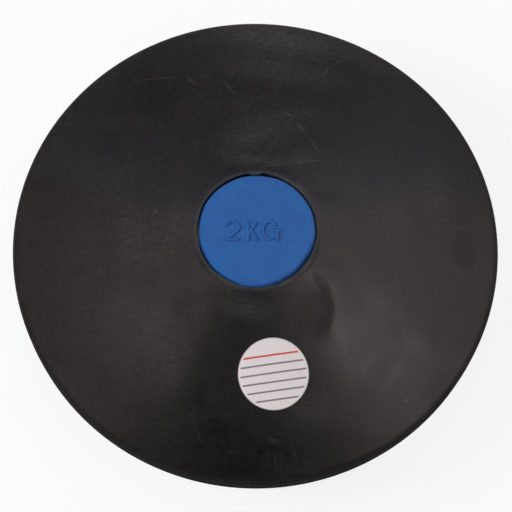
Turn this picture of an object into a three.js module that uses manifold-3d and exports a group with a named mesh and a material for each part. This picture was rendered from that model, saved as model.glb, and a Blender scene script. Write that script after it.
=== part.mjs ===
// A throwing discus of moulded rubber with a steel weight core, as a scene graph of separate pieces.
// Millimetres, +Z up. The origin is the centre of the lower resting face, and +Z is the spin axis.
// Nothing on it moves: the core is moulded in, the two centre plugs are glued, and the label is stuck on.
import * as THREE from 'three';
import { mergeVertices } from 'three/addons/utils/BufferGeometryUtils.js';
import Module from 'manifold-3d';

const wasm = await Module();
wasm.setup();

// Rubber body
const DISC_DIAMETER = 220;
const CENTRE_THICKNESS = 45;
const RIM_THICKNESS = 13.5;
const RIM_CORNER_RADIUS = 1;
const HUB_LAND_WIDTH = 1.5;

// Coloured centre plugs, one in each face, with a stem that reaches down to the core
const PLUG_DIAMETER = 53;
const PLUG_HEAD_THICKNESS = 4.6;
const PLUG_RIM_GAP = 0.5;
const PLUG_EDGE_CHAMFER = 0.4;
const STEM_DIAMETER = 19;
const STEM_SIDE_GAP = 0.5;
const STEM_END_GAP = 0.3;
const GLUE_THICKNESS = 0.4;

// Steel core plate: its diameter and thickness bring the finished discus to two kilograms
const CORE_DIAMETER = 144;
const CORE_THICKNESS = 8;
const CORE_EDGE_CHAMFER = 0.6;
const LOCATING_HOLE_DIAMETER = 12;
const KEY_HOLE_COUNT = 6;
const KEY_HOLE_DIAMETER = 18;
const KEY_HOLE_EDGE_MARGIN = 14;
const MOULDING_GAP = 0.3;

// Round label on the upper cone, set in from the rim and turned about the spin axis from +X
const LABEL_DIAMETER = 31;
const LABEL_THICKNESS = 0.2;
const LABEL_GLUE_GAP = 0.1;
const LABEL_RIM_DISTANCE = 30.5;
const LABEL_AZIMUTH = THREE.MathUtils.degToRad(-81.3);

// Roundness of the turned surfaces, and how far a cutting tool runs past what it cuts
const BODY_SEGMENTS = 96;
const PLUG_SEGMENTS = 64;
const HOLE_SEGMENTS = 32;
const CORNER_STEPS = 4;
const CUT_OVERRUN = 2;

// Sizes that follow from the ones above
const discRadius = DISC_DIAMETER / 2;
const midHeight = CENTRE_THICKNESS / 2;
const plugRadius = PLUG_DIAMETER / 2;
const recessRadius = plugRadius + PLUG_RIM_GAP;
const recessDepth = PLUG_HEAD_THICKNESS + GLUE_THICKNESS;
const hubRadius = recessRadius + HUB_LAND_WIDTH;
const stemRadius = STEM_DIAMETER / 2;
const stemBoreRadius = stemRadius + STEM_SIDE_GAP;
const coreRadius = CORE_DIAMETER / 2;
const keyHoleRadius = KEY_HOLE_DIAMETER / 2;
const keyHoleCircleRadius = coreRadius - KEY_HOLE_EDGE_MARGIN - keyHoleRadius;
const labelRadius = LABEL_DIAMETER / 2;
const labelCentreRadius = discRadius - LABEL_RIM_DISTANCE - labelRadius;
const coneAngle = Math.atan2((CENTRE_THICKNESS - RIM_THICKNESS) / 2, discRadius - hubRadius);

// Materials
const blackRubber = new THREE.MeshStandardMaterial({ color: '#2b2928', roughness: 0.55, metalness: 0 });
const blueRubber = new THREE.MeshStandardMaterial({ color: '#2d5ca0', roughness: 0.7, metalness: 0 });
const milledSteel = new THREE.MeshStandardMaterial({ color: '#7c7d80', roughness: 0.45, metalness: 1 });
const driedGlue = new THREE.MeshStandardMaterial({ color: '#b9a36b', roughness: 0.6, metalness: 0 });
const whitePaper = new THREE.MeshStandardMaterial({ color: '#e6e1e1', roughness: 0.6, metalness: 0 });

// A body of revolution about +Z from [radius, height] points, which run up its outside
function turned(points, segments) {
  const profile = points.map(([radius, height]) => new THREE.Vector2(radius, height));
  return new THREE.LatheGeometry(profile, segments).rotateX(Math.PI / 2);
}

// A closed geometry as a solid that can be cut and joined
function solidOf(geometry) {
  const bare = geometry.index ? geometry.toNonIndexed() : geometry.clone();
  bare.deleteAttribute('normal');
  bare.deleteAttribute('uv');
  const merged = mergeVertices(bare);
  const vertProperties = new Float32Array(merged.attributes.position.array);
  const triVerts = new Uint32Array(merged.index.array);
  return new wasm.Manifold(new wasm.Mesh({ numProp: 3, vertProperties, triVerts }));
}

// A solid back as a geometry with flat-shaded faces
function geometryOf(solid) {
  const cut = solid.getMesh();
  const geometry = new THREE.BufferGeometry();
  geometry.setAttribute('position', new THREE.BufferAttribute(new Float32Array(cut.vertProperties), 3));
  geometry.setIndex(new THREE.BufferAttribute(new Uint32Array(cut.triVerts), 1));
  const faceted = geometry.toNonIndexed();
  faceted.computeVertexNormals();
  return faceted;
}

// A round bar about +Z between two heights
function barSolid(radius, low, high, segments) {
  return solidOf(turned([[0, low], [radius, low], [radius, high], [0, high]], segments));
}

// The same bar at each key hole of the core
function keyHoleBars(radius, low, high) {
  const bars = [];
  for (let i = 0; i < KEY_HOLE_COUNT; i += 1) {
    const angle = (2 * Math.PI * i) / KEY_HOLE_COUNT;
    const centre = [keyHoleCircleRadius * Math.cos(angle), keyHoleCircleRadius * Math.sin(angle), 0];
    bars.push(barSolid(radius, low, high, HOLE_SEGMENTS).translate(centre));
  }
  return wasm.Manifold.union(bars);
}

// Points of the rounded corner where the upper cone meets the upright rim wall, from the wall inwards
function upperRimCorner() {
  const edgeHeight = midHeight + RIM_THICKNESS / 2;
  const centreRadius = discRadius - RIM_CORNER_RADIUS;
  const centreRise = RIM_CORNER_RADIUS * Math.tan(coneAngle) - RIM_CORNER_RADIUS / Math.cos(coneAngle);
  const centreHeight = edgeHeight + centreRise;
  const points = [];
  for (let i = 0; i <= CORNER_STEPS; i += 1) {
    const angle = ((Math.PI / 2 - coneAngle) * i) / CORNER_STEPS;
    const radius = centreRadius + RIM_CORNER_RADIUS * Math.cos(angle);
    points.push([radius, centreHeight + RIM_CORNER_RADIUS * Math.sin(angle)]);
  }
  return points;
}

// The vulcanised body: a double cone with a flat hub, a recess and a stem bore in each face,
// and the pocket that the core fills, bridged by rubber keys that flowed through the core's holes
function rubberBody() {
  const upperCorner = upperRimCorner();
  const lowerCorner = upperCorner.map(([radius, height]) => [radius, CENTRE_THICKNESS - height]).reverse();
  const outline = [
    [0, 0],
    [hubRadius, 0],
    ...lowerCorner,
    ...upperCorner,
    [hubRadius, CENTRE_THICKNESS],
    [0, CENTRE_THICKNESS],
  ];
  const recessTop = CENTRE_THICKNESS + CUT_OVERRUN;
  const recessFloor = CENTRE_THICKNESS - recessDepth;
  const upperRecess = barSolid(recessRadius, recessFloor, recessTop, PLUG_SEGMENTS);
  const lowerRecess = barSolid(recessRadius, -CUT_OVERRUN, recessDepth, PLUG_SEGMENTS);
  const stemBore = barSolid(stemBoreRadius, -CUT_OVERRUN, recessTop, PLUG_SEGMENTS);
  const pocketLow = midHeight - CORE_THICKNESS / 2 - MOULDING_GAP;
  const pocketHigh = midHeight + CORE_THICKNESS / 2 + MOULDING_GAP;
  const corePocket = barSolid(coreRadius + MOULDING_GAP, pocketLow, pocketHigh, BODY_SEGMENTS);
  const keyRadius = keyHoleRadius - MOULDING_GAP;
  const rubberKeys = keyHoleBars(keyRadius, pocketLow - CUT_OVERRUN, pocketHigh + CUT_OVERRUN);
  const cuts = wasm.Manifold.union([upperRecess, lowerRecess, stemBore, corePocket]);
  return geometryOf(solidOf(turned(outline, BODY_SEGMENTS)).subtract(cuts).add(rubberKeys));
}

// The steel weight: a flat plate with broken edges, a locating hole and a ring of key holes
function steelCore() {
  const low = midHeight - CORE_THICKNESS / 2;
  const high = midHeight + CORE_THICKNESS / 2;
  const outline = [
    [0, low],
    [coreRadius - CORE_EDGE_CHAMFER, low],
    [coreRadius, low + CORE_EDGE_CHAMFER],
    [coreRadius, high - CORE_EDGE_CHAMFER],
    [coreRadius - CORE_EDGE_CHAMFER, high],
    [0, high],
  ];
  const plate = solidOf(turned(outline, BODY_SEGMENTS));
  const holeLow = low - CUT_OVERRUN;
  const holeHigh = high + CUT_OVERRUN;
  const locatingHole = barSolid(LOCATING_HOLE_DIAMETER / 2, holeLow, holeHigh, HOLE_SEGMENTS);
  const keyHoles = keyHoleBars(keyHoleRadius, holeLow, holeHigh);
  return geometryOf(plate.subtract(locatingHole.add(keyHoles)));
}

// A centre plug as it is moulded: a round head with a chamfered face, on a stem that stops above the core
function centrePlug() {
  const stemEnd = midHeight + CORE_THICKNESS / 2 + STEM_END_GAP;
  const headLow = CENTRE_THICKNESS - PLUG_HEAD_THICKNESS;
  return turned(
    [
      [0, stemEnd],
      [stemRadius, stemEnd],
      [stemRadius, headLow],
      [plugRadius, headLow],
      [plugRadius, CENTRE_THICKNESS - PLUG_EDGE_CHAMFER],
      [plugRadius - PLUG_EDGE_CHAMFER, CENTRE_THICKNESS],
      [0, CENTRE_THICKNESS],
    ],
    PLUG_SEGMENTS,
  );
}

// The glue film between a plug's head and the floor of its recess, a flat ring round the stem bore
function glueFilm() {
  const low = CENTRE_THICKNESS - recessDepth;
  const high = low + GLUE_THICKNESS;
  return turned(
    [
      [stemBoreRadius, low],
      [plugRadius, low],
      [plugRadius, high],
      [stemBoreRadius, high],
      [stemBoreRadius, low],
    ],
    PLUG_SEGMENTS,
  );
}

// The label: a disc cut from a thin shell that lies parallel to the upper cone
function roundLabel() {
  const reach = labelRadius + CUT_OVERRUN;
  const lift = LABEL_GLUE_GAP / Math.cos(coneAngle);
  const thickness = LABEL_THICKNESS / Math.cos(coneAngle);
  const coneHeight = (radius) => CENTRE_THICKNESS - (radius - hubRadius) * Math.tan(coneAngle);
  const inner = labelCentreRadius - reach;
  const outer = labelCentreRadius + reach;
  const shell = turned(
    [
      [inner, coneHeight(inner) + lift],
      [outer, coneHeight(outer) + lift],
      [outer, coneHeight(outer) + lift + thickness],
      [inner, coneHeight(inner) + lift + thickness],
      [inner, coneHeight(inner) + lift],
    ],
    BODY_SEGMENTS,
  );
  const punch = turned(
    [
      [0, -reach],
      [labelRadius, -reach],
      [labelRadius, reach],
      [0, reach],
    ],
    PLUG_SEGMENTS,
  );
  punch.rotateY(coneAngle);
  punch.translate(labelCentreRadius, 0, coneHeight(labelCentreRadius));
  punch.rotateZ(LABEL_AZIMUTH);
  return geometryOf(solidOf(shell).intersect(solidOf(punch)));
}

// One named piece of the assembly
function piece(name, geometry, material) {
  const mesh = new THREE.Mesh(geometry, material);
  mesh.name = name;
  return mesh;
}

const discus = new THREE.Group();
discus.add(piece('rubber_body', rubberBody(), blackRubber));
discus.add(piece('steel_core', steelCore(), milledSteel));

// Each face has the same plug and glue film, and the lower pair is turned over
for (const [side, turn, height] of [['upper', 0, 0], ['lower', Math.PI, CENTRE_THICKNESS]]) {
  const face = new THREE.Group();
  face.add(piece(`${side}_centre_plug`, centrePlug(), blueRubber));
  face.add(piece(`${side}_glue_film`, glueFilm(), driedGlue));
  face.rotation.x = turn;
  face.position.z = height;
  discus.add(face);
}

discus.add(piece('round_label', roundLabel(), whitePaper));

export default discus;
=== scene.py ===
# A two kilogram rubber throwing discus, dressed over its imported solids.
# Metres, +Z up, resting on z = 0, with the spin axis on Z and the round label on the -Y side.
import math

import bmesh
import bpy
from mathutils import Matrix, Vector, noise


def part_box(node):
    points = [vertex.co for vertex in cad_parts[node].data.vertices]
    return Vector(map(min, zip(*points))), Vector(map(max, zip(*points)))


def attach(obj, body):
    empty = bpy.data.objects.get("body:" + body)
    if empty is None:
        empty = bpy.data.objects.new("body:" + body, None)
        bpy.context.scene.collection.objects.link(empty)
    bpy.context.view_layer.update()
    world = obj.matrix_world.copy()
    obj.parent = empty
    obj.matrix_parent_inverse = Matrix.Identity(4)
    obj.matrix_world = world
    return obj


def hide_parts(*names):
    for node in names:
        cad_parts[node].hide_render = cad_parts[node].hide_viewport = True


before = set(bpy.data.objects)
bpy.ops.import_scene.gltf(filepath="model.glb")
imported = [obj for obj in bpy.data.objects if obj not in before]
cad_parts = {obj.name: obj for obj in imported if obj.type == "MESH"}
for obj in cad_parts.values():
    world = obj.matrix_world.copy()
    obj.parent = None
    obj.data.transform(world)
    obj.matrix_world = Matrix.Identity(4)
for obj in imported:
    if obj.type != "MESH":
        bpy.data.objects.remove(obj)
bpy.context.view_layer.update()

# Rubber body
# One moulding of black rubber, vulcanised round its weight in a two-part steel mould.
# The mould leaves a thin trimmed seam half way up the rim wall and slightly wavy faces,
# and the recess for each centre plug was trimmed by hand, so its mouth isn't quite round.
mm = 0.001
body_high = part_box("rubber_body")[1]
disc_radius = body_high.x
thickness = body_high.z
middle = thickness / 2
film_low, film_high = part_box("upper_glue_film")
recess_floor = film_low.z
core_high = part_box("steel_core")[1]
moulding_gap = 0.3 * mm
pocket_radius = core_high.x + moulding_gap
pocket_top = core_high.z + moulding_gap
stem_bore_radius = 10.0 * mm
key_count = 6
key_hole_radius = 9.0 * mm
key_hole_edge_margin = 14.0 * mm
hub_radius = 28.5 * mm
recess_radius = 26.9 * mm
rim_wall_height = 13.5 * mm
seam_height = 0.1 * mm
seam_width = 0.5 * mm
rim_corner_radius = 0.9 * mm
hub_blend_width = 2.2 * mm
lip_radius = 0.35 * mm
floor_fillet = 0.3 * mm
body_steps = 288
key_steps = 48
cone_rings = 48
wall_rings = 4
rim_corner_steps = 5
hub_blend_steps = 4
lip_steps = 3
fillet_steps = 2
merge_distance = 0.001 * mm
halves_merge_distance = 0.005 * mm
ring_tolerance = 0.02 * mm


def spun(points, steps):
    """A bmesh of the surface that a chain of (radius, height) points sweeps round the Z axis."""
    mesh = bmesh.new()
    verts = [mesh.verts.new((radius, 0, height)) for radius, height in points]
    edges = [mesh.edges.new(pair) for pair in zip(verts, verts[1:])]
    bmesh.ops.spin(
        mesh,
        geom=verts + edges,
        cent=(0, 0, 0),
        axis=(0, 0, 1),
        angle=2 * math.pi,
        steps=steps,
        use_merge=True,
    )
    bmesh.ops.remove_doubles(mesh, verts=mesh.verts, dist=merge_distance)
    return mesh


def radius_of(vert):
    """How far a vertex lies from the spin axis."""
    return math.hypot(vert.co.x, vert.co.y)


def angle_of(vert):
    """The angle of a vertex round the spin axis, in degrees from +X."""
    return math.degrees(math.atan2(vert.co.y, vert.co.x))


def ring_edges(mesh, radius, height):
    """The edges of the ring that lies at that radius and height."""
    found = []
    for edge in mesh.edges:
        off_radius = max(abs(radius_of(v) - radius) for v in edge.verts)
        off_height = max(abs(v.co.z - height) for v in edge.verts)
        if max(off_radius, off_height) < ring_tolerance:
            found.append(edge)
    return found


def round_ring(mesh, radius, height, width, steps):
    """Rounds the corner along a ring."""
    bmesh.ops.bevel(
        mesh,
        geom=ring_edges(mesh, radius, height),
        offset=width,
        offset_type="OFFSET",
        affect="EDGES",
        segments=steps,
        profile=0.5,
        material=-1,
    )


def cut_between(mesh, inner, outer, low, high, cuts):
    """Cuts rings across the edges that run between two rings, given by their radii and heights."""
    spokes = []
    for edge in mesh.edges:
        radii = [radius_of(v) for v in edge.verts]
        heights = [v.co.z for v in edge.verts]
        in_radius = min(radii) > inner - ring_tolerance and max(radii) < outer + ring_tolerance
        in_height = min(heights) > low - ring_tolerance and max(heights) < high + ring_tolerance
        length = math.hypot(radii[0] - radii[1], heights[0] - heights[1])
        if in_radius and in_height and length > math.hypot(outer - inner, high - low) / 2:
            spokes.append(edge)
    bmesh.ops.subdivide_edges(mesh, edges=spokes, cuts=cuts, use_grid_fill=True)


def closed_object(mesh, name):
    """A named object in the scene from a bmesh, smooth except at its sharp edges, with its faces out."""
    sharp_angle = math.radians(35)
    bmesh.ops.recalc_face_normals(mesh, faces=mesh.faces)
    for face in mesh.faces:
        face.smooth = True
    data = bpy.data.meshes.new(name)
    mesh.to_mesh(data)
    mesh.free()
    data.set_sharp_from_angle(angle=sharp_angle)
    piece = bpy.data.objects.new(name, data)
    bpy.context.scene.collection.objects.link(piece)
    return piece


# How far the trimmed edge of a plug falls short of its true circle, the gap between it and the
# mouth of its recess, and how far the edge is rounded off, at every trim angle from +X. Angles
# are in degrees and lengths in millimetres. A tab of flash bridges the gap at the top, and the
# knife left coarse and fine nicks.
trim_angle = 30
trim_round_plug = [0.0, 0.0, 0.0, 0.2, 0.4, 0.5, 0.95, 0.55, 0.6, 0.3, 0.6, 0.6]
gap_round_plug = [0.3, 0.3, 0.2, 1.0, 0.6, 0.45, 0.5, 0.35, 0.25, 0.15, 0.4, 0.45]
fall_round_plug = [0.15, 0.1, 0.1, 0.1, 0.1, 0.15, 0.3, 0.6, 0.6, 0.4, 0.9, 0.9]
flash_angle = 93
flash_half_angle = 7
flash_gap = 0.06
coarse_nick_depth = 0.05
coarse_nick_count = 9
coarse_nick_turn = 2.3
fine_nick_depth = 0.03
fine_nick_count = 16


def smooth_step(share):
    """Eases from 0 to 1 as the share goes from 0 to 1."""
    share = min(max(share, 0), 1)
    return share * share * (3 - 2 * share)


def angle_between(one, other):
    """The angle from one direction to another, in degrees from 0 to 180."""
    return abs((one - other + 180) % 360 - 180)


def round_plug(values, angle):
    """Eases between values that are given round a plug, at an angle in degrees from +X."""
    place = (angle % 360) / trim_angle
    start = int(place)
    behind = values[start % len(values)]
    ahead = values[(start + 1) % len(values)]
    return behind + (ahead - behind) * smooth_step(place - start)


def plug_outline(angle):
    """How far the hand-trimmed edge of a plug stands from its true circle at an angle in degrees."""
    turn = math.radians(angle)
    coarse_nick = coarse_nick_depth * (math.cos(coarse_nick_count * turn + coarse_nick_turn) - 1)
    fine_nick = fine_nick_depth * math.cos(fine_nick_count * turn)
    return (coarse_nick + fine_nick - round_plug(trim_round_plug, angle)) * mm


def plug_gap(angle):
    """The gap round a plug at an angle in degrees from +X."""
    gap = round_plug(gap_round_plug, angle)
    off_flash = angle_between(angle, flash_angle)
    open_share = smooth_step((off_flash - flash_half_angle / 2) / (flash_half_angle / 2))
    return (flash_gap + (gap - flash_gap) * open_share) * mm


plug_low, plug_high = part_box("upper_centre_plug")
plug_radius = plug_high.x
edge_height = middle + rim_wall_height / 2
cone_slope = (thickness - edge_height) / (disc_radius - hub_radius)
wall_radius = disc_radius - seam_height
corner_height = edge_height + seam_height * cone_slope


def face_height(radius):
    """The height of the upper face at a distance from the axis."""
    return thickness - max(radius - hub_radius, 0) * cone_slope


# The upper half of the body's section, from the seam over the face and down into the core's pocket
half_section = [
    (disc_radius, middle),
    (disc_radius, middle + seam_width / 4),
    (wall_radius, middle + seam_width / 2),
    (wall_radius, corner_height),
    (hub_radius, thickness),
    (recess_radius, thickness),
    (recess_radius, recess_floor),
    (stem_bore_radius, recess_floor),
    (stem_bore_radius, pocket_top),
    (pocket_radius, pocket_top),
    (pocket_radius, middle),
]
body = spun(half_section, body_steps)
round_ring(body, wall_radius, corner_height, rim_corner_radius, rim_corner_steps)
round_ring(body, hub_radius, thickness, hub_blend_width / 2, hub_blend_steps)
round_ring(body, recess_radius, thickness, lip_radius, lip_steps)
round_ring(body, recess_radius, recess_floor, floor_fillet, fillet_steps)
cut_between(body, hub_radius, wall_radius, edge_height, thickness, cone_rings)
cut_between(body, wall_radius, wall_radius, middle + seam_width / 2, corner_height, wall_rings)

# The keys of rubber that run through the core's holes hang from the pocket's ceiling
ceiling = []
for face in body.faces:
    if all(abs(v.co.z - pocket_top) < ring_tolerance for v in face.verts):
        ceiling.append(face)
bmesh.ops.delete(body, geom=ceiling, context="FACES_ONLY")
key_circle_radius = core_high.x - key_hole_edge_margin - key_hole_radius
key_edges = []
for key in range(key_count):
    turn = 2 * math.pi * key / key_count
    centre = Vector((math.cos(turn), math.sin(turn), 0)) * key_circle_radius + Vector((0, 0, pocket_top))
    circle = bmesh.ops.create_circle(
        body,
        segments=key_steps,
        radius=key_hole_radius - moulding_gap,
        matrix=Matrix.Translation(centre),
    )
    key_edges += {edge for vert in circle["verts"] for edge in vert.link_edges}
bore_ring = ring_edges(body, stem_bore_radius, pocket_top)
pocket_ring = ring_edges(body, pocket_radius, pocket_top)
bmesh.ops.triangle_fill(body, use_beauty=True, edges=bore_ring + pocket_ring + key_edges)
key_walls = bmesh.ops.extrude_edge_only(body, edges=key_edges)["geom"]
for vert in key_walls:
    if isinstance(vert, bmesh.types.BMVert):
        vert.co.z = middle

# The mouth of the recess follows the plug's trimmed edge
for vert in body.verts:
    radius = radius_of(vert)
    if abs(radius - recess_radius) < 2 * lip_radius and vert.co.z > recess_floor - floor_fillet:
        angle = angle_of(vert)
        shift = plug_radius + plug_outline(angle) + plug_gap(angle) - recess_radius
        vert.co.x *= (radius + shift) / radius
        vert.co.y *= (radius + shift) / radius

# Moulded faces are slightly wavy, so that a reflection breaks up as it crosses them,
# and each rolls down a little just before the rim
wave_length = 34 * mm
wave_depth = 0.05 * mm
wave_sink = 0.03 * mm
wave_start_width = 8 * mm
wave_end_width = 4 * mm
edge_roll_width = 3.5 * mm
edge_roll_depth = 0.05 * mm
buffed_depth = 0.4 * mm
for vert in body.verts:
    radius = radius_of(vert)
    if vert.co.z > edge_height - rim_corner_radius:
        vert.co.z -= edge_roll_depth * max(1 - (wall_radius - radius) / edge_roll_width, 0) ** 2
    from_hub = smooth_step((radius - hub_radius) / wave_start_width)
    from_rim = smooth_step((disc_radius - radius) / wave_end_width)
    if vert.co.z > edge_height:
        wave = noise.noise(vert.co / wave_length)
        vert.co.z -= (wave_sink + wave_depth * wave) * from_hub * from_rim

# Both halves of the mould are alike, so the lower half is the upper one turned over. The rim wall
# is buffed, with part of its corners, and takes the second finish.
lower_half = bmesh.ops.duplicate(body, geom=body.verts[:] + body.edges[:] + body.faces[:])["geom"]
lower_verts = [item for item in lower_half if isinstance(item, bmesh.types.BMVert)]
bmesh.ops.rotate(body, verts=lower_verts, cent=(0, 0, middle), matrix=Matrix.Rotation(math.pi, 3, "X"))
bmesh.ops.remove_doubles(body, verts=body.verts, dist=halves_merge_distance)
for face in body.faces:
    on_wall = all(radius_of(v) > wall_radius - buffed_depth for v in face.verts)
    face.material_index = 1 if on_wall else 0
rubber_body = closed_object(body, "moulded_rubber_body")


def linear(code):
    """A colour written as sRGB hex, in linear light."""
    parts = [int(code[start : start + 2], 16) / 255 for start in (1, 3, 5)]
    return (*[((part + 0.055) / 1.055) ** 2.4 if part > 0.04045 else part / 12.92 for part in parts], 1)


def add(tree, kind, sockets, **settings):
    """Adds a node with its settings, and with its sockets set to values or linked from other nodes."""
    node = tree.nodes.new("ShaderNode" + kind)
    for name, value in settings.items():
        setattr(node, name, value)
    for name, value in sockets.items():
        if isinstance(value, bpy.types.NodeSocket):
            tree.links.new(value, node.inputs[name])
        else:
            node.inputs[name].default_value = value
    return node


# The places of a Mix node's colour sockets
mix_share, mix_from, mix_to, mix_out = 0, 6, 7, 2


def new_finish(name, **constants):
    """A material with its shader's constants set, its node tree, shader and Object coordinates."""
    finish = bpy.data.materials.new(name)
    finish.use_nodes = True
    tree = finish.node_tree
    shader = tree.nodes["Principled BSDF"]
    for socket, value in constants.items():
        shader.inputs[socket.replace("_", " ")].default_value = value
    return finish, tree, shader, add(tree, "TexCoord", {}).outputs["Object"]


def lay_on(tree, shader, colour, roughness, bump):
    """Links the colour, roughness and bumps of a finish to its shader."""
    tree.links.new(colour.outputs[mix_out], shader.inputs["Base Color"])
    tree.links.new(roughness.outputs[0], shader.inputs["Roughness"])
    tree.links.new(bump.outputs[0], shader.inputs["Normal"])


# Wear on the upper face, each patch as two ends, half its width and its strength, in millimetres
# from the axis. Haze is a broad smear of bloom, and a handled patch has lost its bloom. They are
# soft enough for every vertex of the face to hold its share of them.
hazes_and_rim_highlight = [
    # Along the top of the face. The first is haze and also a painted highlight along the upper rim.
    (-25, 106, 45, 97, 14, 0.33),
    (-50, 96, 0, 104, 10, 0.05),
    (40, 97, 66, 84, 9, 0.12),
    (-22, 88, 38, 80, 14, 0.16),
    # Over the plug
    (-12, 64, 26, 58, 14, 0.10),
    (10, 34, 24, 37, 7, 0.15),
    (-14, 42, 12, 50, 17, 0.17),
    (-16, 34, 14, 33, 5, 0.18),
    # Down the left side
    (-72, 22, -92, 38, 18, 0.04),
    (-60, 36, -74, 6, 16, 0.04),
    (-74, 4, -76, -34, 20, 0.05),
    (-58, 16, -55, -24, 12, 0.15),
    (-33, 14, -36, -4, 9, 0.10),
    (-42, 12, -42, -18, 16, 0.14),
    (-38, -34, -44, -52, 13, 0.12),
    (-52, -42, -62, -30, 16, 0.08),
    (-34, -56, -36, -66, 15, 0.17),
    (-22, -34, -28, -52, 10, 0.08),
    (-27, 12, -28, -18, 7, 0.10),
    (-22, -20, -6, -29, 5, 0.16),
    # Under the plug, and fanned out from there to the lower right
    (-15, -34, 8, -37, 8, 0.21),
    (38.5, -40, 40.5, -50, 5, 0.30),
    (39, -46, 46, -62, 11, 0.30),
    (44, -64, 58, -46, 3.5, 0.26),
    (57, -69, 70, -50, 4, 0.26),
    (64, -50, 74, -44, 4, 0.16),
    (35, -38, 39, -46, 3, 0.22),
    (50, -24, 58, -34, 6, 0.10),
    (42, -46, 52, -37, 3.5, 0.10),
    (69, -42, 76, -52, 7, 0.23),
    (18, -77, 36, -77, 12, 0.15),
    (46, -82, 66, -86, 11, 0.08),
    (52, -26, 64, -38, 11, 0.12),
    # Down the right side
    (58, 2, 66, 22, 13, 0.12),
    (80, 14, 82, 36, 12, 0.12),
]
handled = [
    # The upper left
    (-62, 66, -42, 74, 18, 0.10),
    (-68, 76, -48, 90, 9, 0.06),
    (-56, 56, -38, 56, 9, 0.05),
    # Along the lower edge
    (-92, -50, -78, -68, 8, 0.06),
    (-72, -58, -62, -70, 14, 0.09),
    (-26, -70, -20, -76, 7, 0.07),
    (-20, -86, -6, -88, 7, 0.08),
    (-36, -96, 36, -98, 15, 0.09),
    (-30, -104, 22, -106, 6, 0.09),
    (78, -70, 86, -60, 7, 0.20),
    # A thumb mark near the rim, and right of the plug
    (92.8, 3, 94.5, -8, 7.5, 0.30),
    (24, 17, 40, 17, 8, 0.16),
    (26, -13, 37, -19, 8, 0.30),
    (41, -24, 45, -34, 8, 0.24),
    # Between the strokes of the fan
    (53, -63, 63, -49, 2.8, 0.14),
    (60, -36, 65, -46, 3.5, 0.14),
    (80, -34, 80.5, -50, 3, 0.12),
    (46, -70, 54, -67, 3, 0.10),
    # Under the plug and over it
    (-31, -32, -34, -36, 7, 0.10),
    (-3, 63, 10, 63, 7, 0.07),
    # Round the mouth of the recess
    (-9, 26.6, -21, 18.6, 1.3, 0.20),
    (-21, 18.6, -27.2, 6.6, 1.3, 0.20),
    (-27.2, 6.6, -28, -2, 1.3, 0.16),
    (-7, -27.2, 5, -27.6, 1.3, 0.20),
]


def wear_at(point, patches):
    """The summed strength of oval patches of wear at a point of the upper face."""
    total = 0
    for from_x, from_y, to_x, to_y, half_width, strength in patches:
        run = Vector((to_x - from_x, to_y - from_y, 0)) * mm
        centre = Vector((from_x + to_x, from_y + to_y, 0)) * mm / 2
        local = Matrix.Rotation(-math.atan2(run.y, run.x), 3, "Z") @ (point - centre)
        along = local.x / (run.length / 2 + half_width * mm)
        across = local.y / (half_width * mm)
        total += strength * smooth_step(1 - math.hypot(along, across))
    return total


for name, patches in [("haze_and_rim_highlight", hazes_and_rim_highlight), ("handled", handled)]:
    shares = rubber_body.data.attributes.new(name, "FLOAT", "POINT")
    for vert, share in zip(rubber_body.data.vertices, shares.data):
        if vert.co.z > middle:
            share.value = wear_at(vert.co, patches)

# A wiped patch is dark and dull. Its sharp edge is too fine for the mesh to hold, so the nodes of
# the finish draw it.
wipes = [
    (17, -35.5, 17, -35.5, 20, 0.07),
    (22, -35, 22, -35, 15, 0.20),
    (27, -34, 27, -38, 9.5, 0.20),
    (29.5, -31, 30, -38, 6.5, 0.14),
    (27, -20, 32.5, -26, 2.6, 0.38),
    (31.8, -26.5, 32.9, -34, 3.5, 0.22),
    (31.5, -40, 30, -47, 4, 0.25),
]
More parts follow.
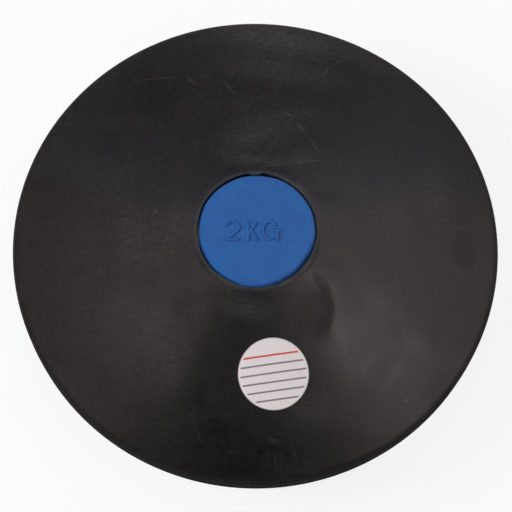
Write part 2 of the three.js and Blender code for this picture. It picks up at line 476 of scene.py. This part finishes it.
# They draw the scuffs too. One above 0 is a pale scratch, smear or speck, and one below 0 is dark.
scuffs_and_lip_highlight = [
    # Scratches over the plug
    (-59.3, 76.6, -36.8, 78.6, 0.5, 0.35),
    (-36.5, 80.3, -29.1, 72.5, 0.6, 0.40),
    (-29.9, 79.2, -21, 79.8, 0.5, 0.22),
    (-20.5, 79.8, -9.8, 66.2, 0.6, 0.40),
    (27.1, 79.2, 32.7, 87.5, 0.6, 0.40),
    (31.7, 86.5, 39.2, 92.5, 0.6, 0.30),
    (39.2, 92.5, 47.3, 89.8, 0.5, 0.22),
    (16.6, 55, 20.8, 49.8, 1, 0.45),
    (20, 51, 31, 34.9, 0.7, 0.35),
    (31, 36, 14.5, 33.6, 0.6, 0.40),
    (16.5, 33.8, -2, 29.4, 0.6, 0.32),
    # Faint strokes between them
    (16.6, 63.5, 26, 56.6, 0.5, 0.28),
    (10.8, 60.5, 15.4, 57.5, 1.3, 0.22),
    (-10, 34.9, -2.9, 37.7, 0.8, 0.22),
    (-12.5, 41.5, -5, 46.4, 0.9, 0.18),
    (-6, 46, 3.4, 47.6, 0.9, 0.18),
    # Scrapes at the lower edge
    (18, -91.2, 21.4, -100.3, 0.5, 0.30),
    (8.6, -93.7, 9.1, -107.5, 0.5, 0.20),
    (11.5, -93.5, 12.1, -107.4, 0.6, 0.24),
    (14.2, -93.9, 14.7, -107.3, 0.5, 0.20),
    (8.5, -91, 14, -92.5, 1.8, 0.22),
    (-8.6, -96.8, -7.4, -97.1, 0.7, 0.30),
    (-5.2, -97.1, -4.2, -97, 0.6, 0.28),
    (-21.9, -89.1, -21.8, -92.5, 0.5, 0.25),
    # Specks and hairs
    (67.2, -71.2, 68.8, -71.6, 1.2, 0.60),
    (-46.2, 8, -44.6, 8.8, 1, 0.32),
    (82.6, 11.2, 87, 12.5, 0.7, 0.35),
    (-90.2, 54.2, -88.2, 54.2, 0.9, 0.22),
    (44.2, 21.9, 50.1, 23.5, 0.4, 0.18),
    (81.9, 53.1, 81.9, 48.9, 0.5, 0.18),
    (-27, 4.9, -26.8, 5.3, 0.4, 0.9),
    # The rubbed mouth of the recess at the lower right, pale also as a painted highlight along its lip
    (9.6, -26.3, 20.2, -20.2, 1.2, 0.45),
    (20.2, -20.2, 26.6, -9.7, 1.2, 0.45),
    # Dark marks
    (-50.1, -64.8, -49.1, -64.8, 1.4, -0.12),
    (29.3, -52.2, 29.9, -52.2, 1.1, -0.2),
    (-14, -94.4, -12, -94.4, 1.6, -0.09),
    (4.8, -96.3, 6.4, -96.3, 1.5, -0.09),
    (48.6, -10.2, 57.7, -13.5, 0.8, -0.2),
    (57.4, -13.3, 60.6, -19, 0.8, -0.2),
]
patch_depth = 20 * mm


def wear_mask(tree, place, patches, edge_share):
    """The summed strength of patches as nodes, each faded over the outer share of its width."""
    total = None
    for from_x, from_y, to_x, to_y, half_width, strength in patches:
        run = Vector((to_x - from_x, to_y - from_y, 0)) * mm
        centre = Vector((from_x + to_x, from_y + to_y, 0)) * mm / 2
        spot = {
            "Vector": place,
            "Location": (centre.x, centre.y, face_height(centre.length)),
            "Rotation": (0, 0, math.atan2(run.y, run.x)),
            "Scale": (run.length / 2 + half_width * mm, half_width * mm, patch_depth),
        }
        local = add(tree, "Mapping", spot, vector_type="TEXTURE").outputs[0]
        away = add(tree, "VectorMath", {0: local}, operation="LENGTH").outputs["Value"]
        fade = {"Value": away, "From Min": 1 - edge_share, "To Min": strength, "To Max": 0}
        mask = add(tree, "MapRange", fade, interpolation_type="SMOOTHSTEP").outputs[0]
        total = mask if total is None else add(tree, "Math", {0: total, 1: mask}).outputs[0]
    return total


# Black rubber, vulcanised against a polished steel mould: near black with a warm cast and a soft
# satin sheen. Its grey bloom lies in clouds and a fine mottle, and handling wipes it off and
# scratches it pale. The grain and the mottle are drawn coarser than they are, so that they show.
moulded_rubber, tree, shader, place = new_finish("moulded_black_rubber", IOR=1.42)
bare_black = linear("#0a0808")
bloom_and_highlight_grey = linear("#4a4747")
cloud_size = 30 * mm
mottle_size = 2.6 * mm
grain_size = 1.1 * mm
grain_depth = 0.024 * mm
ripple_size = 14 * mm
ripple_depth = 0.05 * mm
smear_length = 2.4 * mm
smear_width = 1.3 * mm
smear_turn = 4
streak_length = 6 * mm
streak_width = 0.4 * mm
streak_turns = [2, -8, 30, -52]
plain_haze = 0.03
wipe_edge_share = 0.2
bloom_after_wipe = 0.2
worn_dullness = 0.3
wiped_dullness = 0.2
cloud = add(tree, "TexNoise", {"Vector": place, "Scale": 1 / cloud_size, "Detail": 5, "Roughness": 0.6})
cloud = {"Value": cloud.outputs[0], "From Min": 0.3, "From Max": 0.75, "To Max": 0.05}
cloud = add(tree, "MapRange", cloud).outputs[0]
mottle = add(tree, "TexNoise", {"Vector": place, "Scale": 1 / mottle_size, "Detail": 5, "Roughness": 0.75})
mottle = {"Value": mottle.outputs[0], "From Min": 0.28, "From Max": 0.72, "To Max": 0.16}
mottle = add(tree, "MapRange", mottle).outputs[0]
bloom = add(tree, "Math", {0: cloud, 1: mottle}).outputs[0]


def drawn_out(tree, place, length, width, turn):
    """A pattern of smears of a length and a width that run in a direction in degrees."""
    run = {"Vector": place, "Rotation": (0, 0, math.radians(turn)), "Scale": (length, width, length)}
    run = add(tree, "Mapping", run, vector_type="TEXTURE").outputs[0]
    return add(tree, "TexNoise", {"Vector": run, "Scale": 1, "Detail": 2, "Roughness": 0.6}).outputs[0]


# Rubbed bloom is smeared along the face and full of fine scratches that run in a few directions
smear = drawn_out(tree, place, smear_length, smear_width, smear_turn)
smear = {"Value": smear, "From Min": 0.36, "From Max": 0.64, "To Min": 0.55, "To Max": 1.3}
rubbed = add(tree, "MapRange", smear).outputs[0]
for turn in streak_turns:
    streak = drawn_out(tree, place, streak_length, streak_width, turn)
    streak = add(tree, "MapRange", {"Value": streak, "From Min": 0.57, "From Max": 0.7, "To Max": 0.6})
    rubbed = add(tree, "Math", {0: rubbed, 1: streak.outputs[0]}).outputs[0]

# The face is grey where bloom, haze and scuffs add up, less what handling took, and a wipe
# takes most of all three. The haze and scuffs include painted highlights along the upper rim and the lip
# of the recess.
haze_and_rim_highlight = add(tree, "Attribute", {}, attribute_name="haze_and_rim_highlight").outputs["Fac"]
haze_and_rim_highlight = add(tree, "Math", {0: haze_and_rim_highlight, 1: plain_haze}).outputs[0]
haze_and_rim_highlight = add(tree, "Math", {0: haze_and_rim_highlight, 1: rubbed}, operation="MULTIPLY").outputs[0]
wear_and_highlights = add(tree, "Math", {0: haze_and_rim_highlight, 1: wear_mask(tree, place, scuffs_and_lip_highlight, 1)}).outputs[0]
worn_and_highlights = add(tree, "Math", {0: bloom, 1: wear_and_highlights}).outputs[0]
lost = add(tree, "Attribute", {}, attribute_name="handled").outputs["Fac"]
worn_and_highlights = add(tree, "Math", {0: worn_and_highlights, 1: lost}, operation="SUBTRACT").outputs[0]
wiped = wear_mask(tree, place, wipes, wipe_edge_share)
kept = add(tree, "MapRange", {"Value": wiped, "To Min": 1, "To Max": bloom_after_wipe}).outputs[0]
worn_and_highlights = add(tree, "Math", {0: worn_and_highlights, 1: kept}, operation="MULTIPLY").outputs[0]
colour = {mix_share: worn_and_highlights, mix_from: bare_black, mix_to: bloom_and_highlight_grey}
colour = add(tree, "Mix", colour, data_type="RGBA")

# Worn and wiped rubber is duller than the moulded skin
satin = add(tree, "Math", {0: wear_and_highlights, 1: worn_dullness, 2: cloud}, operation="MULTIPLY_ADD").outputs[0]
satin = add(tree, "MapRange", {"Value": satin, "To Min": 0.27, "To Max": 0.6}).outputs[0]
roughness = add(tree, "Math", {0: wiped, 1: wiped_dullness, 2: satin}, operation="MULTIPLY_ADD")

# The mould left broad ripples in the skin and a fine grain
ripple = {"Vector": place, "Scale": 1 / ripple_size, "Detail": 2, "Roughness": 0.4}
ripple = add(tree, "TexNoise", ripple).outputs[0]
ripple = add(tree, "Bump", {"Height": ripple, "Distance": ripple_depth}).outputs[0]
grain = add(tree, "TexNoise", {"Vector": place, "Scale": 1 / grain_size, "Detail": 3, "Roughness": 0.6})
bump = add(tree, "Bump", {"Height": grain.outputs[0], "Distance": grain_depth, "Normal": ripple})
lay_on(tree, shader, colour, roughness, bump)

# The rim wall was buffed to take the mould's flash off, which leaves it matt with fine lines round it
buffed_rubber, tree, shader, place = new_finish("buffed_black_rubber", Specular_IOR_Level=0.05)
line_height = 0.5 * mm
line_length = 12 * mm
line_depth = 0.02 * mm
round_rim = {"Vector": place, "Scale": (1 / line_length, 1 / line_length, 1 / line_height)}
round_rim = add(tree, "Mapping", round_rim).outputs[0]
lines = add(tree, "TexNoise", {"Vector": round_rim, "Scale": 1, "Detail": 4})
shade = {mix_share: lines.outputs[0], mix_from: linear("#0e0d0d"), mix_to: linear("#1d1b1b")}
colour = add(tree, "Mix", shade, data_type="RGBA")
roughness = add(tree, "MapRange", {"Value": lines.outputs[0], "To Min": 0.8, "To Max": 1.0})
bump = add(tree, "Bump", {"Height": lines.outputs[0], "Distance": line_depth})
lay_on(tree, shader, colour, roughness, bump)

rubber_body.data.materials.append(moulded_rubber)
rubber_body.data.materials.append(buffed_rubber)
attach(rubber_body, "root")
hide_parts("rubber_body")

# Steel core
# A flat plate turned from mild steel, laid in the mould before the rubber, which locks into its holes.
# Turned steel is mid grey with rings from the tool, drawn coarser than they are, and a little
# brown where it has rusted.
ring_pitch = 5 * mm
ring_depth = 0.01 * mm
rust_size = 18 * mm
turned_steel, tree, shader, place = new_finish("turned_mild_steel", Metallic=1.0)
# At a scale of 1 the wave pattern repeats every tenth of pi
ring_scale = math.pi / 10 / ring_pitch
rings = {"Vector": place, "Scale": ring_scale, "Distortion": 0.4, "Detail": 2, "Detail Scale": 2}
rings = add(tree, "TexWave", rings, wave_type="RINGS", rings_direction="Z")
rust = add(tree, "TexNoise", {"Vector": place, "Scale": 1 / rust_size, "Detail": 6, "Roughness": 0.7})
rust = add(tree, "MapRange", {"Value": rust.outputs[0], "From Min": 0.52, "From Max": 0.7})
metal = {mix_share: rust.outputs[0], mix_from: linear("#a8a6a2"), mix_to: linear("#6b4a35")}
colour = add(tree, "Mix", metal, data_type="RGBA")
roughness = add(tree, "MapRange", {"Value": rust.outputs[0], "To Min": 0.36, "To Max": 0.8})
bump = add(tree, "Bump", {"Height": rings.outputs["Fac"], "Distance": ring_depth})
lay_on(tree, shader, colour, roughness, bump)


def dress(node_name, finish):
    """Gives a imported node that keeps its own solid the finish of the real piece."""
    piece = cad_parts[node_name]
    piece.data.materials.clear()
    piece.data.materials.append(finish)


dress("steel_core", turned_steel)

# Glue films
# Rubber contact adhesive, brushed on both faces and pressed together while tacky. It dries amber,
# glossy and a little uneven from the brush.
brush_width = 2 * mm
brush_depth = 0.05 * mm
contact_glue, tree, shader, place = new_finish("dried_contact_glue", IOR=1.5)
brushed = {"Vector": place, "Scale": 1 / brush_width, "Detail": 3, "Distortion": 0.8}
brushed = add(tree, "TexNoise", brushed)
amber = {mix_share: brushed.outputs[0], mix_from: linear("#d0b77c"), mix_to: linear("#a88a4a")}
colour = add(tree, "Mix", amber, data_type="RGBA")
roughness = add(tree, "MapRange", {"Value": brushed.outputs[0], "To Min": 0.15, "To Max": 0.4})
bump = add(tree, "Bump", {"Height": brushed.outputs[0], "Distance": brush_depth})
lay_on(tree, shader, colour, roughness, bump)
dress("upper_glue_film", contact_glue)
dress("lower_glue_film", contact_glue)

# Centre plugs
# Two like mouldings of blue rubber with a stem, trimmed by hand and glued into the recesses.
# The class weight stands up from the face in plain rounded strokes, a little off the middle.
head_low = film_high.z
stem_low = plug_low.z
stem_radius = 9.5 * mm
plug_edge_radius = 0.45 * mm
edge_fall_width = 1.6 * mm
mark_field_radius = 15.2 * mm
pole_radius = 0.3 * mm
mark_rings = 74
head_rings = 24
plug_steps = 360
plug_edge_steps = 4
notch_angles = [158.7, -153.1]
notch_half_angle = 1.6
notch_depth = 0.45 * mm
mark_centre = Vector((-1.15, -0.55, 0)) * mm
mark_turn = math.radians(2.1)
stroke_half_width = 0.8 * mm
stroke_wall_width = 0.5 * mm
stroke_foot_width = 0.45 * mm
stroke_height = 0.5 * mm


def arc(centre_x, centre_y, radius_x, radius_y, start, end):
    """Points along an arc of an ellipse between two angles in degrees."""
    pieces = 16
    points = []
    for step in range(pieces + 1):
        turn = math.radians(start + (end - start) * step / pieces)
        points.append((centre_x + radius_x * math.cos(turn), centre_y + radius_y * math.sin(turn)))
    return points


# The strokes of the weight mark, as chains of points in millimetres from its centre
weight_mark = [
    arc(-9.2, 2.0, 2.8, 2.9, 155, -25) + [(-11.9, -3.55), (-6.5, -3.55)],
    [(-2.4, -3.6), (-2.4, 4.3)],
    [(1.3, 4.2), (-2.1, -0.9)],
    [(-1.0, 0.4), (1.4, -3.6)],
    arc(7.3, 0.7, 3.0, 4.1, 36, 310) + [(10.6, -1.2)],
    [(8.4, 0.5), (12.2, 0.5)],
    [(10.65, 0.5), (10.65, -3.8)],
]


def stroke_distance(point):
    """How far a point of the plug's face is from the nearest stroke of the weight mark."""
    local = Matrix.Rotation(-mark_turn, 3, "Z") @ (point - mark_centre) / mm
    nearest = plug_radius / mm
    for stroke in weight_mark:
        for (from_x, from_y), (to_x, to_y) in zip(stroke, stroke[1:]):
            run_x, run_y = to_x - from_x, to_y - from_y
            share = ((local.x - from_x) * run_x + (local.y - from_y) * run_y) / (run_x**2 + run_y**2)
            share = min(max(share, 0), 1)
            away = math.hypot(local.x - from_x - share * run_x, local.y - from_y - share * run_y)
            nearest = min(nearest, away)
    return nearest * mm


plug_face = thickness - stroke_height
plug_section = [
    (0, stem_low),
    (stem_radius, stem_low),
    (stem_radius, head_low),
    (plug_radius, head_low),
    (plug_radius, plug_face),
    (mark_field_radius, plug_face),
    (pole_radius, plug_face),
    (0, plug_face),
]
plug = spun(plug_section, plug_steps)
foot_share = plug.verts.layers.float.new("stroke_foot")
round_ring(plug, plug_radius, plug_face, plug_edge_radius, plug_edge_steps)
cut_between(plug, mark_field_radius, plug_radius - plug_edge_radius, plug_face, plug_face, head_rings)
cut_between(plug, pole_radius, mark_field_radius, plug_face, plug_face, mark_rings)
for vert in plug.verts:
    radius = radius_of(vert)
    top_share = smooth_step((vert.co.z - plug_face + plug_edge_radius) / plug_edge_radius)
    if radius > mark_field_radius:
        angle = angle_of(vert)
        shift = plug_outline(angle)
        for notch_angle in notch_angles:
            notch = smooth_step(1 - angle_between(angle, notch_angle) / notch_half_angle)
            shift -= notch_depth * notch * top_share
        outward = (radius - mark_field_radius) / (plug_radius - mark_field_radius)
        vert.co.x *= (radius + shift * smooth_step(outward)) / radius
        vert.co.y *= (radius + shift * smooth_step(outward)) / radius
        if vert.co.z > head_low + plug_edge_radius:
            over_edge = smooth_step((radius - plug_radius + edge_fall_width) / edge_fall_width)
            vert.co.z -= round_plug(fall_round_plug, angle) * mm * over_edge
    elif vert.co.z > plug_face - ring_tolerance:
        away = stroke_distance(Vector((vert.co.x, vert.co.y, 0)))
        vert.co.z += stroke_height * smooth_step((stroke_half_width - away) / stroke_wall_width)
        # How near a vertex lies to the foot of a stroke, where the finish paints shade
        vert[foot_share] = smooth_step(1 - abs(away - stroke_half_width) / stroke_foot_width)

# Blue rubber, coloured through and pressed in a matt mould: flat and chalky, with painted shade
# down its side below the face and at the foot of the strokes.
blue_rubber, tree, shader, place = new_finish("moulded_blue_rubber", IOR=1.5)
blue_cloud_size = 6 * mm
blue_grain_size = 0.6 * mm
blue_grain_depth = 0.02 * mm
unshaded_depth = 0.5 * mm
painted_shade_depth = 3 * mm
side_painted_shade = 0.6
foot_painted_shade = 0.45
cloud = {"Vector": place, "Scale": 1 / blue_cloud_size, "Detail": 5, "Roughness": 0.75}
cloud = add(tree, "TexNoise", cloud)
cloud = add(tree, "MapRange", {"Value": cloud.outputs[0], "From Min": 0.25, "From Max": 0.75})
chalk = {mix_share: cloud.outputs[0], mix_from: linear("#175397"), mix_to: linear("#2465ab")}
colour = add(tree, "Mix", chalk, data_type="RGBA")
# Painted shade: the side darkens downwards from just under the face, into the recess
height = add(tree, "SeparateXYZ", {0: place}).outputs["Z"]
from_middle = add(tree, "Math", {0: height, 1: middle}, operation="SUBTRACT")
from_middle = add(tree, "Math", {0: from_middle.outputs[0]}, operation="ABSOLUTE")
unshaded_height = middle - unshaded_depth
side_shade = {"Value": from_middle.outputs[0], "From Min": unshaded_height - painted_shade_depth, "From Max": unshaded_height}
side_shade = add(tree, "MapRange", {**side_shade, "To Min": side_painted_shade, "To Max": 0})
# Painted shade at the foot of each stroke, added to the shade down the side
foot = add(tree, "Attribute", {}, attribute_name="stroke_foot").outputs["Fac"]
painted_shade = add(tree, "Math", {0: foot, 1: foot_painted_shade, 2: side_shade.outputs[0]}, operation="MULTIPLY_ADD")
shading = {mix_share: painted_shade.outputs[0], mix_from: colour.outputs[mix_out], mix_to: linear("#123d73")}
colour = add(tree, "Mix", shading, data_type="RGBA")
grain = add(tree, "TexNoise", {"Vector": place, "Scale": 1 / blue_grain_size, "Detail": 3})
roughness = add(tree, "MapRange", {"Value": cloud.outputs[0], "To Min": 0.55, "To Max": 0.7})
bump = add(tree, "Bump", {"Height": grain.outputs[0], "Distance": blue_grain_depth})
lay_on(tree, shader, colour, roughness, bump)

turned_plug = plug.copy()
bmesh.ops.rotate(
    turned_plug,
    verts=turned_plug.verts,
    cent=(0, 0, middle),
    matrix=Matrix.Rotation(math.pi, 3, "X"),
)
for mesh, side in [(plug, "upper"), (turned_plug, "lower")]:
    centre_plug = closed_object(mesh, side + "_trimmed_plug")
    centre_plug.data.materials.append(blue_rubber)
    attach(centre_plug, "root")
    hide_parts(side + "_centre_plug")

# Round label
# A die-cut disc of coated paper, stuck on the upper cone and bent to it. It is ruled from edge to
# edge like an index card, a red head line over grey ones, for a name to be written on it.
label_low, label_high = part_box("round_label")
label_centre = (label_low + label_high) / 2
label_radius = (label_high.x - label_low.x) / 2
label_gap = 0.1 * mm
label_thickness = 0.2 * mm
label_turn = math.radians(10.2)
label_steps = 96
label_rings = 12
label_section = [
    (0, 0),
    (pole_radius, 0),
    (label_radius, 0),
    (label_radius, label_thickness),
    (pole_radius, label_thickness),
    (0, label_thickness),
]
label = spun(label_section, label_steps)
cut_between(label, pole_radius, label_radius, 0, 0, label_rings)
cut_between(label, pole_radius, label_radius, label_thickness, label_thickness, label_rings)
for vert in label.verts:
    vert.co.x += label_centre.x
    vert.co.y += label_centre.y
    vert.co.z += face_height(radius_of(vert)) + label_gap
round_label = closed_object(label, "stuck_round_label")

# Coated paper, cut with a round die: off-white with a weak sheen, and grubby at its edge. The
# places of the ruling are in millimetres from the label's centre.
coated_paper, tree, shader, place = new_finish("coated_label_paper", IOR=1.45)
fibre_size = 1.5 * mm
fibre_depth = 0.01 * mm
head_line = 8.0
head_half_height = 0.4
rule_half_height = 0.35
rule_spacing = 3.8
rule_top = 6.0
print_radius = 14.4
print_blur = 0.12
clean_radius = label_radius / mm - 0.3
on_label = {
    "Vector": place,
    "Location": (label_centre.x, label_centre.y, 0),
    "Rotation": (0, 0, label_turn),
    "Scale": (mm, mm, mm),
}
on_label = add(tree, "Mapping", on_label, vector_type="TEXTURE").outputs[0]
up_label = add(tree, "SeparateXYZ", {0: on_label}).outputs["Y"]
flat = add(tree, "VectorMath", {0: on_label, 1: (1, 1, 0)}, operation="MULTIPLY").outputs[0]
from_centre = add(tree, "VectorMath", {0: flat}, operation="LENGTH").outputs["Value"]
over_head = add(tree, "Math", {0: up_label, 1: head_line}, operation="SUBTRACT").outputs[0]
to_head = add(tree, "Math", {0: over_head}, operation="ABSOLUTE").outputs[0]
to_rule = add(tree, "Math", {0: over_head, 1: rule_spacing / 2}, operation="PINGPONG").outputs[0]

# Each mask is 1 where its measure is under a limit, with a soft border
limits = [
    (from_centre, print_radius),
    (to_head, head_half_height),
    (to_rule, rule_half_height),
    (up_label, rule_top),
    (from_centre, clean_radius),
]
masks = []
for measure, limit in limits:
    border = {"Value": measure, "From Min": limit - print_blur, "From Max": limit + print_blur}
    masks.append(add(tree, "MapRange", {**border, "To Min": 1, "To Max": 0}).outputs[0])
printed, on_head, on_rule, under_head, clean = masks
head = add(tree, "Math", {0: on_head, 1: printed}, operation="MULTIPLY").outputs[0]
rules = add(tree, "Math", {0: on_rule, 1: under_head}, operation="MULTIPLY").outputs[0]
rules = add(tree, "Math", {0: rules, 1: printed}, operation="MULTIPLY").outputs[0]
fibre = add(tree, "TexNoise", {"Vector": place, "Scale": 1 / fibre_size, "Detail": 4})
paper = {mix_share: fibre.outputs[0], mix_from: linear("#e4dbda"), mix_to: linear("#ece3e1")}
colour = add(tree, "Mix", paper, data_type="RGBA")
edge = {mix_share: clean, mix_from: linear("#a9a3a1"), mix_to: colour.outputs[mix_out]}
colour = add(tree, "Mix", edge, data_type="RGBA")
ink = {mix_share: rules, mix_from: colour.outputs[mix_out], mix_to: linear("#7d797d")}
colour = add(tree, "Mix", ink, data_type="RGBA")
ink = {mix_share: head, mix_from: colour.outputs[mix_out], mix_to: linear("#d5503f")}
colour = add(tree, "Mix", ink, data_type="RGBA")
roughness = add(tree, "MapRange", {"Value": fibre.outputs[0], "To Min": 0.5, "To Max": 0.6})
bump = add(tree, "Bump", {"Height": fibre.outputs[0], "Distance": fibre_depth})
lay_on(tree, shader, colour, roughness, bump)
round_label.data.materials.append(coated_paper)
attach(round_label, "root")
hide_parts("round_label")

# Studio floor
# A sheet of matt white card. It keeps the discus's soft shadow and fades to pure white round it,
# and it can be looked through from below, where a lamp lights the lower face.
floor_radius = 3.0
floor_steps = 96
floor_drop = 0.02 * mm
shadow_radius = 0.22
white_radius = 0.6
near_share = 0.85
floor_mesh = bmesh.new()
bmesh.ops.create_circle(
    floor_mesh,
    cap_ends=True,
    segments=floor_steps,
    radius=floor_radius,
    matrix=Matrix.Translation((0, 0, -floor_drop)),
)
floor_data = bpy.data.meshes.new("card_floor")
floor_mesh.to_mesh(floor_data)
floor_mesh.free()
floor = bpy.data.objects.new("card_floor", floor_data)
bpy.context.scene.collection.objects.link(floor)
card_look = {"Base_Color": linear("#f4f4f4"), "Roughness": 1.0, "Specular_IOR_Level": 0}
white_card, tree, shader, place = new_finish("matt_white_card", **card_look)
away = add(tree, "VectorMath", {0: place}, operation="LENGTH").outputs["Value"]
fade = {"Value": away, "From Min": shadow_radius, "From Max": white_radius, "To Min": near_share}
fade = add(tree, "MapRange", fade, interpolation_type="SMOOTHSTEP").outputs[0]
ray = add(tree, "LightPath", {})
seen = ray.outputs["Is Camera Ray"]
for kind in ["Is Glossy Ray", "Is Transmission Ray"]:
    seen = add(tree, "Math", {0: seen, 1: ray.outputs[kind]}, operation="MAXIMUM").outputs[0]
white = add(tree, "Emission", {"Color": linear("#ffffff"), "Strength": 1.0})
share = add(tree, "Math", {0: seen, 1: fade}, operation="MULTIPLY")
card = add(tree, "MixShader", {0: share.outputs[0], 1: shader.outputs[0], 2: white.outputs[0]})
below = add(tree, "NewGeometry", {}).outputs["Backfacing"]
unseen = add(tree, "Math", {0: below, 1: ray.outputs["Is Shadow Ray"]}, operation="MAXIMUM")
clear = add(tree, "BsdfTransparent", {})
card = add(tree, "MixShader", {0: unseen.outputs[0], 1: card.outputs[0], 2: clear.outputs[0]})
tree.links.new(card.outputs[0], tree.nodes["Material Output"].inputs["Surface"])
floor.data.materials.append(white_card)

# Studio lamps
# Large soft boxes stand round the discus and point at it, and nothing hangs right over it.
# Each has its place as an azimuth from +X and a height, in degrees, its side, its strength
# as the light that it sends out per area, and its colour.
lamp_distance = 1.8
soft_boxes = [
    ("right_high", 0, 70, 0.45, 3.8, "#ffebec"),
    ("right_back", 30, 58, 0.50, 1.6, "#ffedeb"),
    ("back_right", 60, 58, 0.50, 1.9, "#f8f0ff"),
    ("back_high", 90, 70, 0.45, 2.9, "#e0eaff"),
    ("back_left", 120, 58, 0.50, 0.65, "#e8eaff"),
    ("left_back", 150, 58, 0.50, 0.8, "#ffdbd7"),
    ("left_low", 180, 28, 0.90, 10.8, "#f6fbff"),
    ("left_high", 180, 70, 0.45, 1.85, "#ffe8e5"),
]
for name, azimuth, height, side, strength, tint in soft_boxes:
    lamp = bpy.data.lights.new(name, "AREA")
    lamp.shape = "SQUARE"
    lamp.size = side
    lamp.energy = strength * math.pi * side**2
    lamp.color = linear(tint)[:3]
    soft_box = bpy.data.objects.new(name, lamp)
    turn, rise = math.radians(azimuth), math.radians(height)
    out = Vector((math.cos(turn) * math.cos(rise), math.sin(turn) * math.cos(rise), math.sin(rise)))
    soft_box.location = out * lamp_distance
    soft_box.rotation_euler = out.to_track_quat("Z", "Y").to_euler()
    soft_box.visible_camera = False
    # The low box fills the side of the rim with light, and the face doesn't mirror it
    soft_box.visible_glossy = name != "left_low"
    bpy.context.scene.collection.objects.link(soft_box)

# The table lamp stands under the card and shines on the lower face alone
table_lamp_size = 1.2
table_lamp_power = 1.0
table_lamp_place = Vector((0.5, -0.8, -1.2))
lamp = bpy.data.lights.new("table_lamp", "AREA")
lamp.size = table_lamp_size
lamp.energy = table_lamp_power
table_lamp = bpy.data.objects.new("table_lamp", lamp)
table_lamp.location = table_lamp_place
table_lamp.rotation_euler = table_lamp_place.to_track_quat("Z", "Y").to_euler()
table_lamp.visible_camera = False
bpy.context.scene.collection.objects.link(table_lamp)

# The room is white round the horizon and dark overhead and underfoot. Heights are the sine of
# the angle over the horizon.
room_strength = 0.64
zenith_strength = 0.06
ceiling_start, ceiling_full = 0.42, 0.8
ground_full, ground_end = -0.3, -0.15
world = bpy.data.worlds.new("room")
bpy.context.scene.world = world
world.use_nodes = True
tree = world.node_tree
room = tree.nodes["Background"]
direction = add(tree, "TexCoord", {}).outputs["Generated"]
up = add(tree, "SeparateXYZ", {0: direction}).outputs["Z"]
upper = {"Value": up, "From Min": ceiling_start, "From Max": ceiling_full}
upper = {**upper, "To Min": room_strength, "To Max": zenith_strength}
upper = add(tree, "MapRange", upper, interpolation_type="SMOOTHSTEP").outputs[0]
lower = {"Value": up, "From Min": ground_full, "From Max": ground_end}
lower = add(tree, "MapRange", lower, interpolation_type="SMOOTHSTEP").outputs[0]
glow = add(tree, "Math", {0: upper, 1: lower}, operation="MULTIPLY").outputs[0]
tree.links.new(glow, room.inputs["Strength"])
room.inputs["Color"].default_value = linear("#ffffff")

# Camera
# It looks from the label's side, high over the discus, with a long lens, and a small shift puts
# the discus where it stands in the photograph.
camera_height = math.radians(71.5)
camera_distance = 685 * mm
camera_roll = math.radians(2)
camera_lens = 105.3
camera_shift_x = 0.0008
camera_shift_y = -0.0188
camera = bpy.data.objects.new("camera", bpy.data.cameras.new("camera"))
camera.data.lens = camera_lens
camera.data.shift_x = camera_shift_x
camera.data.shift_y = camera_shift_y
out = Vector((0, -math.cos(camera_height), math.sin(camera_height)))
camera.location = Vector((0, 0, middle)) + out * camera_distance
roll = Matrix.Rotation(camera_roll, 3, "Z").to_quaternion()
camera.rotation_euler = (out.to_track_quat("Z", "Y") @ roll).to_euler()
bpy.context.scene.collection.objects.link(camera)
bpy.context.scene.camera = camera
bpy.context.scene.view_settings.view_transform = "Standard"
